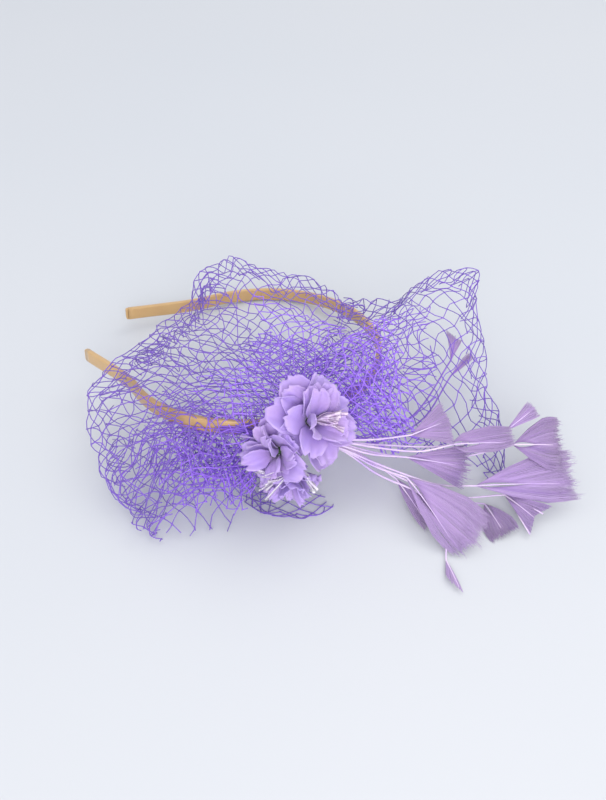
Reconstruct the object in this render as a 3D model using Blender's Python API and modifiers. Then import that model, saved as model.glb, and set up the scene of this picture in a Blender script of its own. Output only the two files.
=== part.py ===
"""Fascinator headpiece: a ribbon-covered band with a veil, fabric blossoms and trimmed quill feathers.

The piece is modelled as it lies on a table: the near arm of the band is propped up by the blossoms,
the far arm rests on the table, and the arms open to -X. Sizes are in millimetres and turned into
metres where a shape is made. The origin ends up under the middle of the whole piece, on the table.
"""

import math

import bmesh
import bpy
from mathutils import Matrix, Vector

MM = 0.001
GAP = 0.35  # clearance between touching pieces

# Headband: an open ellipse in a tilted plane, with tips that flare outwards
BAND_HALF_DEPTH = 57.0
BAND_HALF_WIDTH = 65.0
BAND_HALF_ANGLE = math.radians(164)
BAND_FLARE = 20.0
FLARE_START = 0.82
BAND_CENTRE = (-22.0, 12.5, 19.1)
BAND_TILT = math.radians(14)
BAND_YAW = math.radians(-15)
BAND_STEPS = 72
CORE_WIDTH = 4.4
CORE_THICK = 0.8
RIBBON_THICK = 0.35
SEAM_HALF = 0.2
TIP_LENGTH = 1.0

# Felt discs that clamp the trimmings to the near arm
PAD_ANGLE = math.radians(-53.8)
BASE_HALF_LENGTH = 17.0
BASE_HALF_HEIGHT = 8.0
BASE_THICK = 2.0
COVER_HALF_LENGTH = 9.0
COVER_HALF_HEIGHT = 7.0
COVER_THICK = 1.2
COVER_SAG = 0.9  # room for the curve of the band behind the flat cover

# Blossoms: eye, axis, petal reach of the two layers, how steeply they cup, petals in a layer
PETAL_THICK = 0.35
PETAL_HOLE = 1.7
PETAL_NOTCH = 0.60
PETAL_RINGS = 3
PETAL_COLUMNS = 6
LAYER_STEP = 1.6
BLOSSOMS = {
    "flower_right": {"eye": (2.5, -56.0, 44.0), "axis": (0.40, -0.60, 0.69),
                     "reach": (21.0, 16.5), "cup": (0.16, 0.50), "petals": (6, 5),
                     "eye_bead": True, "stamens": (4.8, math.radians(35)), "foot": (3.0, 3.0)},
    "flower_left": {"eye": (-10.0, -62.5, 33.5), "axis": (-0.55, -0.78, 0.30),
                    "reach": (17.5, 13.5), "cup": (0.16, 0.50), "petals": (6, 5),
                    "eye_bead": True, "stamens": None, "foot": (-3.5, 0.5)},
    "flower_lower": {"eye": (-5.0, -61.0, 22.5), "axis": (-0.12, -0.93, -0.35),
                     "reach": (15.5, 11.5), "cup": (0.40, 0.90), "petals": (5, 5),
                     "eye_bead": False, "stamens": (1.5, 0.0), "foot": (-1.0, -4.0)},
}
BLOSSOM_GAP = 0.9
CALYX_FOOT = -6.0
EYE_RADIUS = 1.5
EYE_HEIGHT = 2.9
STAMEN_LENGTH = 9.0
STEM_RADIUS = 0.5
STEM_BEND = 2.0
STEM_STEPS = 6

# Bundle of stripped quills, bound with tape beside the blossoms
BUNDLE_START = (4.5, -52.0, 29.5)
BUNDLE_END = (13.5, -53.0, 28.0)
BUNDLE_BORE = 3.3
TAPE_THICK = 0.5
QUILL_RADIUS = 0.45
VANE_THICK = 0.5

# Feathers: place in the bundle, bends of the quill, start and end of the vane, half width, outline
TRIANGLE = ((0.0, 0.0), (1.0, 1.0))
FAN = ((0.0, 0.0), (0.35, 0.55), (0.75, 1.0), (1.0, 0.85))
BLADE = ((0.0, 0.15), (0.2, 0.8), (0.7, 1.0), (1.0, 0.7))
LEAF = ((0.0, 0.0), (0.4, 1.0), (1.0, 0.12))
FEATHERS = {
    "feather_top_fan": ((0.6, 2.4), [(30, -51, 28)], (44.8, -48.1, 27.5), (59.6, -45.6, 32), 9.5,
                        TRIANGLE),
    "feather_top_blade": ((-0.8, 2.3), [(32, -54.5, 26.5), (48, -54.5, 24.5)], (62, -52, 26),
                          (86, -50.5, 29.5), 5.5, BLADE),
    "feather_mid_fan": ((-2.1, 1.2), [(28, -56.5, 25)], (43.1, -54.6, 21), (66.5, -58, 19), 9.5,
                        TRIANGLE),
    "feather_far_fan": ((-0.8, 0.9), [(35, -54, 21.8), (62, -53, 18.4)], (88, -48.5, 22),
                        (107, -48.6, 23.5), 11.5, FAN),
    "feather_far_tip": ((0.6, 1.1), [(34, -51, 24.5), (60, -49.5, 22.5)], (85.2, -44.7, 27),
                        (96.3, -38.5, 33), 4.0, TRIANGLE),
    "feather_right_fan": ((-2.4, -0.1), [(32, -58.5, 20.5), (55, -62.5, 13.2)], (71.9, -62.5, 12),
                          (112.2, -58.3, 14.5), 11.0, FAN),
    "feather_fishtail": ((-0.2, -0.4), [(32, -56.8, 17.2), (60, -64, 7.2)], (84.6, -62.8, 6.5),
                         (97.7, -75.6, 6), 7.5, TRIANGLE),
    "feather_lower_fan": ((-1.6, -1.3), [(30, -59, 20)], (42.8, -62.2, 17), (67.4, -83.5, 7), 11.5,
                          FAN),
    "feather_lower_back": ((1.4, -1.6), [(29, -54, 17.5)], (39.1, -57.3, 10.5), (53.3, -74.3, 3), 5.0,
                           FAN),
    "feather_lower_dark": ((0.2, -1.7), [(31, -56.5, 12.5), (57, -62, 3.5)], (76.5, -64.5, 2.6),
                           (82.5, -79.5, 2.4), 7.0, FAN),
    "feather_low_leaf": ((-0.9, -2.4), [(31, -60, 16.5), (49, -66.5, 11), (58, -77, 4.5)],
                         (57.4, -92.4, 1.6), (59.2, -108.0, 1.6), 3.4, LEAF),
    "feather_upright_leaf": ((2.0, 1.5), [(30, -46, 25), (50, -26, 19)], (67.7, 3.9, 22),
                             (71.2, 18.8, 26), 4.6, TRIANGLE),
    "feather_upright_blade": ((2.4, 0.1), [(30, -48, 22.5), (52, -28, 15.5)], (67.5, -1.9, 17.5),
                              (78.0, 9.3, 20), 1.8, FAN),
}
VANE_FACING = (0.0, -0.55, 0.83)
QUILL_STEPS = 8
VANE_STEPS = 5

# Lobes of the folded net, fanned out from the gather. Each row of a lobe's edge holds a direction in
# degrees, the reach, the height of the edge and the height that the net aims at on the way there.
VEIL_THICK = 1.5
VEIL_COLUMNS = 22
VEIL_ROWS = 8
VEIL_LOBES = {
    "veil_left": {"centre": (-3, -46), "start": (8, 44), "edge": (
        (74, 78, 38, 50), (86, 88, 40, 50), (97, 92, 42, 50), (107, 104, 45, 50), (114, 106, 42, 50),
        (124, 92, 33, 50), (142, 84, 38, 50), (155, 88, 34, 50), (166, 93, 28, 50), (177, 88, 22, 50),
        (185, 84, 16, 47), (194, 78, 11, 43), (202, 72, 9, 38))},
    "veil_right": {"centre": (-2, -46), "start": (9, 43), "edge": (
        (2, 90, 5, 18), (12, 92, 14, 24), (20, 90, 22, 30), (30, 98, 30, 36), (41, 110, 38, 42),
        (48, 128, 42, 42), (54, 118, 42, 42), (60, 94, 32, 42), (68, 84, 34, 42))},
    "veil_apron": {"centre": (-14, -55), "start": (13, 19), "edge": (
        (166, 72, 12, 20), (178, 70, 6, 20), (190, 62, 3, 18), (202, 58, 1, 16), (216, 46, 1, 14),
        (228, 32, 1, 10))},
    "veil_front": {"centre": (-8, -43), "start": (8, 5), "edge": (
        (238, 25, 1, 1), (255, 27, 1, 1), (275, 27, 1, 1), (300, 30, 1, 1))},
}


def mm(values):
    return Vector(values) * MM


# ---------------------------------------------------------------- scene helpers


def clear_scene():
    for obj in list(bpy.data.objects):
        bpy.data.objects.remove(obj, do_unlink=True)


def new_collection(name):
    collection = bpy.data.collections.new(name)
    bpy.context.scene.collection.children.link(collection)
    return collection


def new_material(name, colour, roughness, metallic=0.0):
    material = bpy.data.materials.new(name)
    material.use_nodes = True
    shader = material.node_tree.nodes["Principled BSDF"]
    shader.inputs["Base Color"].default_value = (*colour, 1.0)
    shader.inputs["Roughness"].default_value = roughness
    shader.inputs["Metallic"].default_value = metallic
    return material


def add_empty(name, matrix, parent=None):
    empty = bpy.data.objects.new(name, None)
    PARTS.objects.link(empty)
    empty.parent = parent
    empty.matrix_basis = matrix
    return empty


def add_object(name, data, material, parent):
    obj = bpy.data.objects.new(name, data)
    data.materials.append(material)
    PARTS.objects.link(obj)
    obj.parent = parent
    return obj


def mesh_from_bmesh(name, shape):
    bmesh.ops.recalc_face_normals(shape, faces=shape.faces)
    mesh = bpy.data.meshes.new(name)
    shape.to_mesh(mesh)
    shape.free()
    mesh.shade_smooth()
    mesh.set_sharp_from_angle(angle=math.radians(35))
    return mesh


def grid_mesh(name, rows, closed=False):
    """An open surface through rows of points. A closed one joins each row's last point to its first."""
    shape = bmesh.new()
    verts = [[shape.verts.new(point) for point in row] for row in rows]
    columns = len(rows[0])
    for lower, upper in zip(verts, verts[1:]):
        for i in range(columns if closed else columns - 1):
            j = (i + 1) % columns
            shape.faces.new((lower[i], lower[j], upper[j], upper[i]))
    mesh = bpy.data.meshes.new(name)
    shape.to_mesh(mesh)
    shape.free()
    mesh.shade_smooth()
    return mesh


def add_sheet(name, rows, thickness, material, parent, closed=False, offset=0.0):
    """A thin closed body: the surface through rows, given its thickness by Solidify."""
    obj = add_object(name, grid_mesh(name, rows, closed), material, parent)
    solidify = obj.modifiers.new("thickness", "SOLIDIFY")
    solidify.thickness = thickness * MM
    solidify.offset = offset
    solidify.use_even_offset = True
    return obj


def add_disc(name, half_length, half_height, thickness, material, parent, height):
    """A flat oval of felt, its middle plane at this height in the parent's frame."""
    curve = bpy.data.curves.new(name, "CURVE")
    curve.dimensions = "2D"
    curve.fill_mode = "BOTH"
    curve.extrude = thickness / 2 * MM
    spline = curve.splines.new("POLY")
    steps = 28
    spline.points.add(steps - 1)
    for i, point in enumerate(spline.points):
        angle = math.tau * i / steps
        point.co = (half_length * MM * math.cos(angle), half_height * MM * math.sin(angle), 0, 1)
    spline.use_cyclic_u = True
    obj = add_object(name, curve, material, parent)
    obj.location = (0, 0, height * MM)
    return obj


def add_wire(name, points, radius, material, parent):
    curve = bpy.data.curves.new(name, "CURVE")
    curve.dimensions = "3D"
    curve.bevel_depth = radius * MM
    curve.bevel_resolution = 2
    curve.use_fill_caps = True
    spline = curve.splines.new("POLY")
    spline.points.add(len(points) - 1)
    for point, where in zip(spline.points, points):
        point.co = (*mm(where), 1)
    return add_object(name, curve, material, parent)


def frame_along(origin, axis, up=(0, 0, 1)):
    """A frame in metres at this point, its Z along the axis and its Y as near to up as it gets."""
    z = Vector(axis).normalized()
    x = Vector(up).cross(z).normalized()
    y = z.cross(x)
    turn = Matrix((x, y, z)).transposed().to_4x4()
    return Matrix.Translation(mm(origin)) @ turn


def smooth_path(points, steps):
    """Points on the Catmull-Rom curve through the given ones, evenly spaced in its parameter."""
    knots = [Vector(p) for p in points]
    knots = [2 * knots[0] - knots[1], *knots, 2 * knots[-1] - knots[-2]]
    spans = len(knots) - 3
    path = []
    for i in range(steps + 1):
        place = min(i * spans / steps, spans - 1e-9)
        k = int(place)
        t = place - k
        a, b, c, d = knots[k:k + 4]
        path.append(0.5 * (2 * b + (c - a) * t + (2 * a - 5 * b + 4 * c - d) * t**2
                           + (3 * b - a - 3 * c + d) * t**3))
    return path


def between(table, at):
    """Linear interpolation in a short table of (place, value, ...) rows."""
    for low, high in zip(table, table[1:]):
        if at <= high[0]:
            share = (at - low[0]) / (high[0] - low[0])
            return [a + (b - a) * share for a, b in zip(low[1:], high[1:])]
    return list(table[-1][1:])


# ---------------------------------------------------------------- headband


def band_point(angle):
    """A point of the band's centre line in its own plane, in millimetres."""
    start = FLARE_START * BAND_HALF_ANGLE
    share = max(0.0, (abs(angle) - start) / (BAND_HALF_ANGLE - start))
    outward = Vector((BAND_HALF_WIDTH * math.cos(angle), BAND_HALF_DEPTH * math.sin(angle))).normalized()
    centre = Vector((BAND_HALF_DEPTH * math.cos(angle), BAND_HALF_WIDTH * math.sin(angle)))
    return centre + outward * BAND_FLARE * share**2


def band_frame(angle):
    """(centre, outward, along) of the band at this angle, in its own plane."""
    step = 0.002
    along = (band_point(angle + step) - band_point(angle - step)).normalized()
    return band_point(angle), Vector((along.y, -along.x)), along


def swept_along_band(profile, trim=0.0):
    """Rows of points: the profile of (outward, up) pairs carried along the band, in metres."""
    rows = []
    reach = BAND_HALF_ANGLE - trim
    for i in range(BAND_STEPS + 1):
        centre, outward, _ = band_frame(-reach + 2 * reach * i / BAND_STEPS)
        rows.append([mm((*(centre + outward * out), up)) for out, up in profile])
    return rows


def build_headband(ring):
    half = CORE_WIDTH / 2
    core_rows = swept_along_band([(0, -half), (0, half)], trim=0.01)
    add_sheet("headband_core", core_rows, CORE_THICK, STEEL, ring)
    out = CORE_THICK / 2 + GAP
    up = half + GAP
    wrap = [(-out, SEAM_HALF), (-out, up), (out, up), (out, -up), (-out, -up), (-out, -SEAM_HALF)]
    add_sheet("ribbon_wrap", swept_along_band(wrap), RIBBON_THICK, SATIN, ring, offset=1.0)
    for name, side in (("ribbon_tip_near", -1), ("ribbon_tip_far", 1)):
        build_tip(name, side, ring)


def build_tip(name, side, ring):
    """The folded ribbon end that closes the wrap, a small rounded block."""
    centre, outward, along = band_frame(side * BAND_HALF_ANGLE)
    shape = bmesh.new()
    bmesh.ops.create_cube(shape, size=1.0)
    sides = (CORE_THICK + 2 * (GAP + RIBBON_THICK), TIP_LENGTH, CORE_WIDTH + 2 * (GAP + RIBBON_THICK))
    bmesh.ops.scale(shape, vec=mm(sides), verts=shape.verts)
    obj = add_object(name, mesh_from_bmesh(name, shape), SATIN, ring)
    bevel = obj.modifiers.new("soft_edges", "BEVEL")
    bevel.width = 0.3 * MM
    bevel.segments = 2
    place = centre + along * side * (TIP_LENGTH / 2 + GAP)
    obj.location = mm((*place, 0))
    obj.rotation_euler = (0, 0, math.atan2(outward.y, outward.x))


# ---------------------------------------------------------------- felt discs and gathered net


def pad_matrix():
    """The frame of the felt discs, in the ring's: X along the band, Y up across it, Z outwards."""
    centre, outward, along = band_frame(PAD_ANGLE)
    turn = Matrix(((*along, 0), (0, 0, 1), (*outward, 0))).transposed().to_4x4()
    return Matrix.Translation(mm((*centre, 0))) @ turn


def build_felt(pad):
    face = CORE_THICK / 2 + GAP + RIBBON_THICK + GAP
    add_disc("felt_base", BASE_HALF_LENGTH, BASE_HALF_HEIGHT, BASE_THICK, FELT, pad,
             face + BASE_THICK / 2)
    add_disc("felt_cover", COVER_HALF_LENGTH, COVER_HALF_HEIGHT, COVER_THICK, FELT, pad,
             -(face + COVER_SAG + COVER_THICK / 2))
    return face + BASE_THICK


def build_gather(pad, front):
    """The tuft of gathered net, bound tight and stitched to the felt."""
    shape = bmesh.new()
    bmesh.ops.create_cone(shape, cap_ends=True, segments=16, radius1=3.2 * MM, radius2=2.4 * MM,
                          depth=3.2 * MM)
    obj = add_object("veil_gather", mesh_from_bmesh("veil_gather", shape), NET, pad)
    obj.location = mm((-10.5, 3.2, front + GAP + 1.6))


# ---------------------------------------------------------------- blossoms


def petal_outline(angle, petals):
    """How far a layer reaches in this direction, from the notch between petals to a petal's end."""
    lobe = abs(math.cos(petals * angle / 2)) ** 0.55
    return PETAL_NOTCH + (1 - PETAL_NOTCH) * lobe


def blossom_walls(name, frame):
    """Planes midway to the other blossoms, as (normal, distance) in this blossom's frame."""
    walls = []
    inverse = frame.inverted()
    for other, spec in BLOSSOMS.items():
        if other != name:
            towards = (inverse @ mm(spec["eye"])) / MM
            walls.append((towards.normalized(), towards.length / 2 - BLOSSOM_GAP))
    return walls


def layer_point(angle, radius, height, cup):
    rise = height + cup * (radius - PETAL_HOLE) ** 1.15
    return Vector((radius * math.cos(angle), radius * math.sin(angle), rise))


def petal_layer(name, frame, reach, height, cup, petals):
    """Rows from the hole out to the petals' ends, cut short where another blossom stands."""
    walls = blossom_walls(name, frame)
    columns = petals * PETAL_COLUMNS
    rows = []
    for ring in range(PETAL_RINGS + 1):
        share = ring / PETAL_RINGS
        row = []
        for i in range(columns):
            angle = math.tau * i / columns
            radius = PETAL_HOLE + (reach * petal_outline(angle, petals) - PETAL_HOLE) * share
            point = layer_point(angle, radius, height, cup)
            while radius > PETAL_HOLE and any(n.dot(point) > far for n, far in walls):
                radius -= 0.25
                point = layer_point(angle, radius, height, cup)
            row.append(point)
        rows.append(row)
    return spread_rows(rows)


def spread_rows(rows):
    """The rows spaced evenly again between the first and the last, so that none coincide."""
    last = len(rows) - 1
    first_row, last_row = rows[0], rows[-1]
    spread = []
    for k in range(last + 1):
        share = k / last
        spread.append([mm(inner.lerp(outer, share)) for inner, outer in zip(first_row, last_row)])
    return spread


def build_blossom(name, spec, frame, root):
    head = add_empty(name + "_head", frame, root)
    for k, layer in enumerate(("outer_petals", "inner_petals")):
        rows = petal_layer(name, frame, spec["reach"][k], LAYER_STEP * (k - 1), spec["cup"][k],
                           spec["petals"][k])
        add_sheet(f"{name}_{layer}", rows, PETAL_THICK, PETAL, head, closed=True)
    build_calyx(name, head)
    return head


def build_calyx(name, head):
    """The moulded cup behind the petals, with its peg through their holes."""
    profile = [(0.0, 1.0), (1.2, 0.8), (1.2, -2.4), (3.0, -2.6), (2.4, -4.2), (0.9, CALYX_FOOT),
               (0.0, CALYX_FOOT)]
    shape = bmesh.new()
    verts = [shape.verts.new((x * MM, 0, z * MM)) for x, z in profile]
    for a, b in zip(verts, verts[1:]):
        shape.edges.new((a, b))
    mesh = bpy.data.meshes.new(name + "_calyx")
    shape.to_mesh(mesh)
    shape.free()
    obj = add_object(name + "_calyx", mesh, CALYX, head)
    screw = obj.modifiers.new("turned", "SCREW")
    screw.steps = 14
    screw.render_steps = 14
    screw.use_merge_vertices = True
    screw.merge_threshold = 0.00001


def build_eye(name, head):
    """The round bead in the middle of a blossom."""
    shape = bmesh.new()
    bmesh.ops.create_uvsphere(shape, u_segments=12, v_segments=8, radius=EYE_RADIUS * MM)
    obj = add_object(name + "_eye", mesh_from_bmesh(name + "_eye", shape), CALYX, head)
    obj.location = mm((0, 0, EYE_HEIGHT))


def build_stamens(name, head, foot, lean):
    """The tuft of satin threads, as one flared solid that leans to one side."""
    length = STAMEN_LENGTH
    shape = bmesh.new()
    bmesh.ops.create_cone(shape, cap_ends=True, segments=14, radius1=0.8 * MM, radius2=3.4 * MM,
                          depth=length * MM)
    bmesh.ops.translate(shape, vec=mm((0, 0, length / 2)), verts=shape.verts)
    obj = add_object(name + "_stamens", mesh_from_bmesh(name + "_stamens", shape), STAMEN, head)
    obj.matrix_basis = Matrix.Translation(mm((0, 0, foot))) @ Matrix.Rotation(lean, 4, "Y")


def build_stem(name, head_frame, pad_frame, foot, root):
    """The wire from the foot of the calyx to the felt, straight out of the calyx and then bent over."""
    calyx_foot = head_frame @ mm((0, 0, CALYX_FOOT - GAP)) / MM
    bend = head_frame @ mm((0, 0, CALYX_FOOT - GAP - STEM_BEND)) / MM
    felt_point = pad_frame @ mm(foot) / MM
    path = []
    for i in range(STEM_STEPS + 1):
        share = i / STEM_STEPS
        path.append(calyx_foot.lerp(bend, share).lerp(bend.lerp(felt_point, share), share))
    add_wire(name + "_stem", path, STEM_RADIUS, STEM, root)


def build_blossoms(root, pad_frame, front):
    for name, spec in BLOSSOMS.items():
        frame = frame_along(spec["eye"], spec["axis"])
        head = build_blossom(name, spec, frame, root)
        build_stem(name, frame, pad_frame, (*spec["foot"], front + STEM_RADIUS + GAP), root)
        if spec["eye_bead"]:
            build_eye(name, head)
        if spec["stamens"]:
            build_stamens(name, head, *spec["stamens"])


# ---------------------------------------------------------------- feathers


def bundle_frame():
    return frame_along(BUNDLE_START, Vector(BUNDLE_END) - Vector(BUNDLE_START))


def build_tape(root):
    """The tape wound round the quills: a sleeve, open at both ends."""
    length = (Vector(BUNDLE_END) - Vector(BUNDLE_START)).length
    outer = BUNDLE_BORE + TAPE_THICK
    corners = [(outer, length), (outer, 0), (BUNDLE_BORE, 0), (BUNDLE_BORE, length)]
    shape = bmesh.new()
    verts = [shape.verts.new((x * MM, 0, z * MM)) for x, z in corners]
    for a, b in zip(verts, verts[1:] + verts[:1]):
        shape.edges.new((a, b))
    mesh = bpy.data.meshes.new("quill_tape")
    shape.to_mesh(mesh)
    shape.free()
    obj = add_object("quill_tape", mesh, TAPE, root)
    obj.matrix_basis = bundle_frame()
    screw = obj.modifiers.new("turned", "SCREW")
    screw.steps = 20
    screw.render_steps = 20
    screw.use_merge_vertices = True
    screw.merge_threshold = 0.00001


def feather_sections(spec):
    """(centre, half width, half thickness) along one feather, in millimetres."""
    slot, bends, vane_start, vane_end, half_width, outline = spec
    inside = bundle_frame() @ mm((*slot, 1.0)) / MM
    outside = bundle_frame() @ mm((*slot, 12.0)) / MM
    quill = smooth_path([inside, outside, *bends, vane_start], QUILL_STEPS)
    sections = [(point, QUILL_RADIUS, QUILL_RADIUS) for point in quill[:-1]]
    start, end = Vector(vane_start), Vector(vane_end)
    for i in range(VANE_STEPS + 1):
        share = i / VANE_STEPS
        width = QUILL_RADIUS + half_width * between(outline, share)[0]
        sections.append((start.lerp(end, share), width, VANE_THICK / 2 + 0.15 * (1 - share)))
    return sections


def build_feather(name, spec, root):
    """One feather as one body: a lofted hexagon, round along the quill and flat along the vane."""
    sections = feather_sections(spec)
    shape = bmesh.new()
    rings = []
    for i, (centre, width, thick) in enumerate(sections):
        ahead = sections[min(i + 1, len(sections) - 1)][0] - sections[max(i - 1, 0)][0]
        side = Vector(VANE_FACING).cross(ahead).normalized()
        face = ahead.cross(side).normalized()
        corners = ((1, 0), (0.5, 1), (-0.5, 1), (-1, 0), (-0.5, -1), (0.5, -1))
        rings.append([shape.verts.new(mm(centre + side * width * u + face * thick * v))
                      for u, v in corners])
    for lower, upper in zip(rings, rings[1:]):
        for i in range(6):
            shape.faces.new((lower[i], lower[i - 1], upper[i - 1], upper[i]))
    shape.faces.new(rings[0])
    shape.faces.new(reversed(rings[-1]))
    add_object(name, mesh_from_bmesh(name, shape), FEATHER, root)


def build_feathers(root):
    build_tape(root)
    for name, spec in FEATHERS.items():
        build_feather(name, spec, root)


# ---------------------------------------------------------------- veil


def veil_rows(lobe):
    """Rows from the gather to the edge of one lobe, rising to its crown in between."""
    centre = Vector((*lobe["centre"], 0))
    near, near_height = lobe["start"]
    first, last = lobe["edge"][0][0], lobe["edge"][-1][0]
    rows = []
    for k in range(VEIL_ROWS + 1):
        share = k / VEIL_ROWS
        row = []
        for i in range(VEIL_COLUMNS + 1):
            angle = first + (last - first) * i / VEIL_COLUMNS
            reach, edge_height, crown = between(lobe["edge"], angle)
            radius = near + (reach - near) * share
            height = ((1 - share)**2 * near_height + 2 * share * (1 - share) * crown
                      + share**2 * edge_height)
            turn = math.radians(angle)
            row.append(mm(centre + Vector((radius * math.cos(turn), radius * math.sin(turn), height))))
        rows.append(row)
    return rows


def build_veil(root):
    for name, lobe in VEIL_LOBES.items():
        add_sheet(name, veil_rows(lobe), VEIL_THICK, NET, root)


def centre_on_origin(root):
    """Moves everything so that the origin is under the middle of the whole piece, at its lowest point."""
    bpy.context.view_layer.update()
    graph = bpy.context.evaluated_depsgraph_get()
    corners = []
    for obj in PARTS.objects:
        if obj.type != "EMPTY":
            evaluated = obj.evaluated_get(graph)
            corners += [evaluated.matrix_world @ vert.co for vert in evaluated.to_mesh().vertices]
            evaluated.to_mesh_clear()
    low = [min(corner[axis] for corner in corners) for axis in range(3)]
    high = [max(corner[axis] for corner in corners) for axis in range(3)]
    root.location = (-(low[0] + high[0]) / 2, -(low[1] + high[1]) / 2, -low[2])


def build_all():
    root = add_empty("fascinator_root", Matrix.Identity(4))
    ring_frame = (Matrix.Translation(mm(BAND_CENTRE)) @ Matrix.Rotation(-BAND_TILT, 4, "X")
                  @ Matrix.Rotation(BAND_YAW, 4, "Z"))
    ring = add_empty("ring_plane", ring_frame, root)
    build_headband(ring)
    pad = add_empty("pad_frame", pad_matrix(), ring)
    front = build_felt(pad)
    build_gather(pad, front)
    build_blossoms(root, ring_frame @ pad_matrix(), front)
    build_feathers(root)
    build_veil(root)
    centre_on_origin(root)


clear_scene()
PARTS = new_collection("fascinator")
STEEL = new_material("band_core", (0.55, 0.55, 0.56), 0.35, 0.9)
SATIN = new_material("ribbon_satin", (0.52, 0.36, 0.17), 0.42)
FELT = new_material("felt", (0.42, 0.36, 0.60), 0.95)
NET = new_material("veil_net", (0.16, 0.08, 0.55), 0.60)
PETAL = new_material("petal_fabric", (0.50, 0.42, 0.82), 0.75)
CALYX = new_material("calyx", (0.10, 0.20, 0.08), 0.60)
FEATHER = new_material("feather", (0.46, 0.30, 0.62), 0.70)
TAPE = new_material("binding_tape", (0.45, 0.35, 0.68), 0.80)
STAMEN = new_material("stamens", (0.80, 0.62, 0.78), 0.30)
STEM = new_material("stem_wire", (0.16, 0.26, 0.12), 0.55, 0.2)
build_all()
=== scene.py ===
"""Looks of the fascinator headpiece: ribbon, veil net, fabric blossoms, stamens and trimmed feathers.

Shapes are worked out in millimetres in the part's design frame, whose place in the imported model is
read from the frame, and turned into metres where a mesh is made.
"""
import math
import random
from collections import namedtuple

import bpy
from mathutils import Matrix, Vector, noise
from mathutils.bvhtree import BVHTree


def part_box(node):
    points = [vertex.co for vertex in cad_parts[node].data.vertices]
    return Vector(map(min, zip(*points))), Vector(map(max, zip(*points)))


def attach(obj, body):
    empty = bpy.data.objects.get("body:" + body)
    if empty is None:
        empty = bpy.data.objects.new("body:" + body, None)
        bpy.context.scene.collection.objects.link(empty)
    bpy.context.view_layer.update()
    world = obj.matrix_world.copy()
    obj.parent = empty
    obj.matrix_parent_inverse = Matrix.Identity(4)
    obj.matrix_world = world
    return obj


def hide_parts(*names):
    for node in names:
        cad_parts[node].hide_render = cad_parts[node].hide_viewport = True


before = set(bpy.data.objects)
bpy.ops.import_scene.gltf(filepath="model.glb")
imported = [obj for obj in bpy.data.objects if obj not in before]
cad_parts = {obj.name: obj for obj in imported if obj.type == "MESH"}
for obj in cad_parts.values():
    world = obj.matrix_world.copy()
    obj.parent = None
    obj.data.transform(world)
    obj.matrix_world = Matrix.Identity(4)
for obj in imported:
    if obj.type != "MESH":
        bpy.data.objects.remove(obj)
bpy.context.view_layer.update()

MM = 0.001
UP = Vector((0, 0, 1))

# Headband, as in the CAD model
BAND_HALF_DEPTH = 57.0
BAND_HALF_WIDTH = 65.0
BAND_HALF_ANGLE = math.radians(164)
BAND_FLARE = 20.0
FLARE_START = 0.82
BAND_CENTRE = (-22.0, 12.5, 19.1)
BAND_TILT = math.radians(14)
BAND_YAW = math.radians(-15)
BAND_HALF_THICK = 1.1
BAND_HALF_HEIGHT = 2.9
RIBBON_STEPS = 220
RIBBON_THICK = 0.3
TIP_REACH = 1.35

# Felt discs and the gather, in the frame of the pad on the near arm
PAD_ANGLE = math.radians(-53.8)
BASE = {"half": (17.0, 8.0), "height": 2.45, "thick": 2.0}
COVER = {"half": (9.0, 7.0), "height": -2.95, "thick": 1.2}
GATHER_AT = (-10.5, 3.2, 5.4)

# Blossoms: eye, axis, petal reach and cup of the outer and the inner petals, petals in each ring,
# and how far round its axis a blossom is turned
PETAL_HOLE = 1.7
PETAL_THICK = 0.22
PETAL_ROWS = 12
PETAL_COLUMNS = 14
PETAL_BEND = 0.45
LAYER_STEP = 1.6
EYE_HEIGHT = 2.9
BLOSSOMS = {
    "flower_right": {"eye": (2.5, -56.0, 44.0), "axis": (0.40, -0.60, 0.69),
                     "reach": (21.0, 16.5), "cup": (0.16, 0.50), "petals": ((7, 5), (5, 3))},
    "flower_left": {"eye": (-10.0, -62.5, 33.5), "axis": (-0.55, -0.78, 0.30),
                    "reach": (17.5, 13.5), "cup": (0.16, 0.50), "petals": ((6, 5), (4, 3))},
    "flower_lower": {"eye": (-5.0, -61.0, 22.5), "axis": (-0.12, -0.93, -0.35),
                     "reach": (14.8, 11.2), "cup": (0.40, 0.90), "petals": ((7, 5), (5, 3)),
                     "turn": 0.45},
}

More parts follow.
